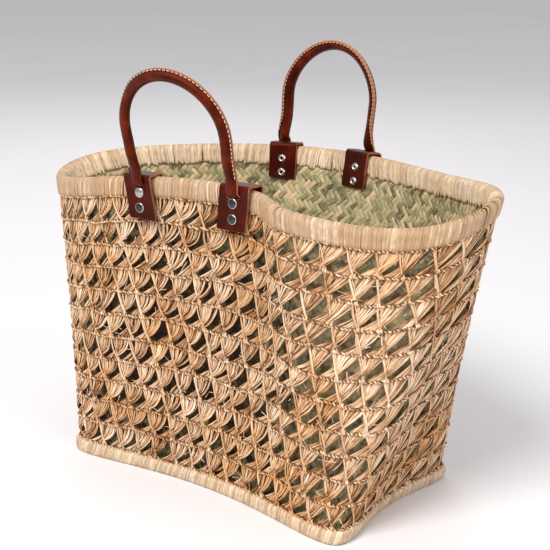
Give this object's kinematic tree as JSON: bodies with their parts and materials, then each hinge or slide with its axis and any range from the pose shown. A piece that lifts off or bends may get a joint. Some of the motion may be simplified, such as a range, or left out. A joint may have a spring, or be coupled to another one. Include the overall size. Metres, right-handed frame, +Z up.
{
  "type": "woven market basket",
  "caption": "Open-lace raffia market basket with a plaited palm lining, wound rim and foot ring, and rolled leather carrying handles that swing.",
  "frame": {"origin": "centre of the foot's flat underside", "axes": "+X along the length, to the right as seen from the front; -Y is the dented front; +Z up"},
  "size_m": [0.5093, 0.261, 0.4093],
  "materials": {
    "raffia_lace": "dry natural raffia, knotted openwork",
    "palm_leaf": "dull plaited palm leaf strips, olive to straw",
    "raffia_winding": "close raffia winding, satin",
    "palm_rope": "twisted palm rope",
    "leather": "waxed red-brown leather, worn at the edges",
    "rivet_metal": "nickel-plated, lightly tarnished",
    "waxed_thread": "waxed off-white thread"
  },
  "bodies": {
    "basket": {"liner_base": "palm_leaf", "liner_wall": "palm_leaf", "lace_course_01": "raffia_lace", "lace_course_02": "raffia_lace", "lace_course_03": "raffia_lace", "lace_course_04": "raffia_lace", "lace_course_05": "raffia_lace", "lace_course_06": "raffia_lace", "lace_course_07": "raffia_lace", "lace_course_08": "raffia_lace", "lace_course_09": "raffia_lace", "lace_course_10": "raffia_lace", "lace_course_11": "raffia_lace", "foot_ring_core": "palm_rope", "foot_ring_winding": "raffia_winding", "rim_rope": "palm_rope", "rim_winding": "raffia_winding", "front_left_tab": "leather", "front_right_tab": "leather", "back_left_tab": "leather", "back_right_tab": "leather", "front_left_handle_end": "leather", "front_right_handle_end": "leather", "back_left_handle_end": "leather", "back_right_handle_end": "leather", "front_left_rivet_caps": "rivet_metal", "front_right_rivet_caps": "rivet_metal", "back_left_rivet_caps": "rivet_metal", "back_right_rivet_caps": "rivet_metal", "front_left_rivet_backs": "rivet_metal", "front_right_rivet_backs": "rivet_metal", "back_left_rivet_backs": "rivet_metal", "back_right_rivet_backs": "rivet_metal"},
    "front_handle": {"front_handle_cover": "leather", "front_handle_cord": "palm_rope", "front_handle_thread": "waxed_thread"},
    "back_handle": {"back_handle_cover": "leather", "back_handle_cord": "palm_rope", "back_handle_thread": "waxed_thread"}
  },
  "joints": [
    {"name": "front_handle_swing", "type": "hinge", "parent": "basket", "child": "front_handle", "pos_m": [-0.01529, -0.08281, 0.30551], "axis": [0.9881, 0.1534, 0.0138], "range_deg": [-46, 104]},
    {"name": "back_handle_swing", "type": "hinge", "parent": "basket", "child": "back_handle", "pos_m": [-0.01334, 0.13545, 0.30738], "axis": [-0.9978, -0.0667, -0.0001], "range_deg": [-38, 97]}
  ]
}
